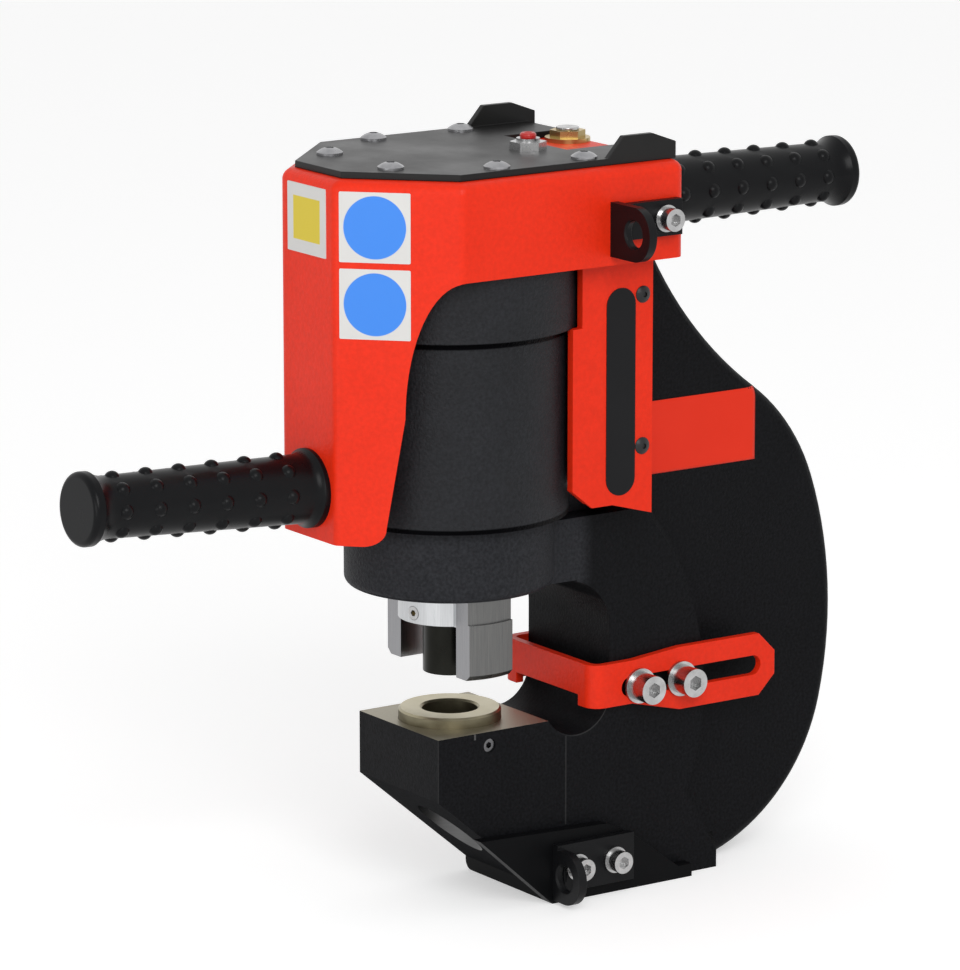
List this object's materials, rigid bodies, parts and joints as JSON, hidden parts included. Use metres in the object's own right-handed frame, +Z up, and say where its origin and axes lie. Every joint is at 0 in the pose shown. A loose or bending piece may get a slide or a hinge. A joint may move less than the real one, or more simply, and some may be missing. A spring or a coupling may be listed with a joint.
{
  "type": "hydraulic hole punch",
  "caption": "Portable hydraulic hole punch: C-frame with an upright cylinder, punch, die, stripper, sliding material stop, sheet cowl and two rubber grips.",
  "frame": {"origin": "middle of the foot bracket's flat underside, in the mid-plane of the frame", "axes": "+Z up along the punch stroke's axis, -Y to the front where the punch and the front grip are, +X to the side with the lifting lugs"},
  "size_m": [0.1502, 0.4082, 0.3472],
  "materials": {
    "frame_paint": "black wrinkle paint",
    "red_paint": "red powder coat",
    "black_sheet": "black semi-gloss powder coat",
    "grip_rubber": "black moulded rubber",
    "zinc_steel": "bright zinc plating",
    "black_screws": "black oxide",
    "stripper_alu": "milled",
    "tool_steel": "ground tool steel",
    "hydraulic_steel": "turned steel",
    "chromed_rod": "hard chrome",
    "bronze": "turned bronze",
    "seal_rubber": "moulded",
    "wear_ring": "filled polymer",
    "plug_plastic": "red plastic"
  },
  "bodies": {
    "frame": {"c_frame": "frame_paint", "cylinder_barrel": "frame_paint", "cylinder_head": "frame_paint", "cowl": "red_paint", "side_cover_right": "red_paint", "side_cover_left": "red_paint", "top_plate": "black_sheet", "foot_shoe": "black_sheet", "upper_lug": "black_sheet", "lower_lug": "black_sheet", "front_grip": "grip_rubber", "rear_grip": "grip_rubber", "stop_bolts": "zinc_steel", "stop_washers": "zinc_steel", "cowl_bolts": "zinc_steel", "cowl_washers": "zinc_steel", "foot_bolts": "zinc_steel", "foot_washers": "zinc_steel", "top_plate_screws": "zinc_steel", "cowl_nuts": "zinc_steel", "handle_nuts": "zinc_steel", "front_handle_tube": "zinc_steel", "rear_handle_tube": "zinc_steel", "advance_port_fitting": "zinc_steel", "coupling_cap": "zinc_steel", "side_cover_screws": "black_screws", "die_set_screw": "black_screws", "stripper": "stripper_alu", "die": "tool_steel", "stripper_set_screw": "tool_steel", "return_pipe": "hydraulic_steel", "pipe_banjos": "hydraulic_steel", "guide_bush": "bronze", "return_coupling": "bronze", "rod_seal": "seal_rubber", "rod_wiper": "seal_rubber", "head_seal": "seal_rubber", "port_plug": "plug_plastic"},
    "ram": {"piston": "hydraulic_steel", "piston_seal": "seal_rubber", "piston_guide_ring": "wear_ring", "piston_nut": "hydraulic_steel", "ram_rod": "chromed_rod", "punch": "tool_steel", "punch_nut": "tool_steel"},
    "stop": {"material_stop": "red_paint"}
  },
  "joints": [
    {"name": "ram_slide", "type": "slide", "parent": "frame", "child": "ram", "axis": [0, 0, -1], "range_m": [0, 0.022]},
    {"name": "stop_slide", "type": "slide", "parent": "frame", "child": "stop", "axis": [0, -1, 0], "range_m": [-0.0045, 0.03]}
  ]
}
